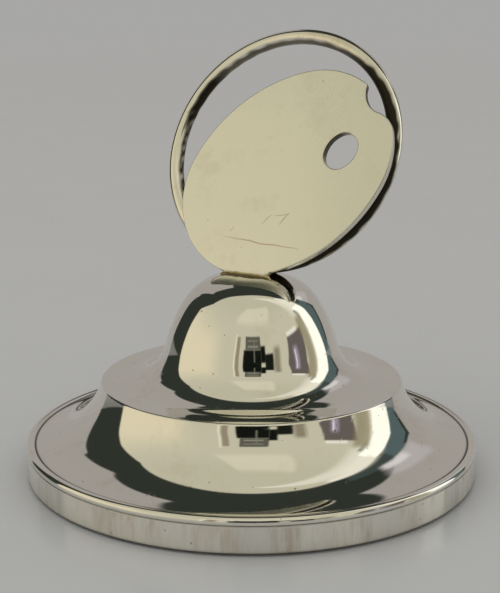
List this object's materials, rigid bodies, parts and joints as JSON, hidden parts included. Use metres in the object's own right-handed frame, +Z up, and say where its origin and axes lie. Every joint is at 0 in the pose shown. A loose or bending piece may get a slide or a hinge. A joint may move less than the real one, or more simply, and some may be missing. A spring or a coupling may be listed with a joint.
{
  "type": "table number holder",
  "caption": "Table number holder: a round stepped base with a domed centre, carrying a palette-shaped plate and a wire ring that grip a card between them.",
  "frame": {"origin": "on the table, at the centre of the felt's underside, below the middle of the dome", "axes": "+Z up; the palette plate faces -Y and leans back towards +Y; +X is to the right of someone who faces the plate"},
  "size_m": [0.038, 0.038, 0.0366],
  "materials": {
    "silver_sheet": "polished silver, worn by cleaning",
    "silver_plate": "polished silver with fine scratches",
    "silver_wire": "polished silver",
    "solder": "silver solder, a little tarnished",
    "pitch": "dull pitch",
    "card": "plain card",
    "felt": "green felt"
  },
  "bodies": {
    "root": {"base_shell": "silver_sheet", "dome_cap": "silver_sheet", "pitch_filling": "pitch", "closing_disc": "card", "felt_pad": "felt", "palette_plate": "silver_plate", "ring_wire": "silver_wire", "palette_solder": "solder", "ring_solder": "solder"}
  },
  "joints": []
}
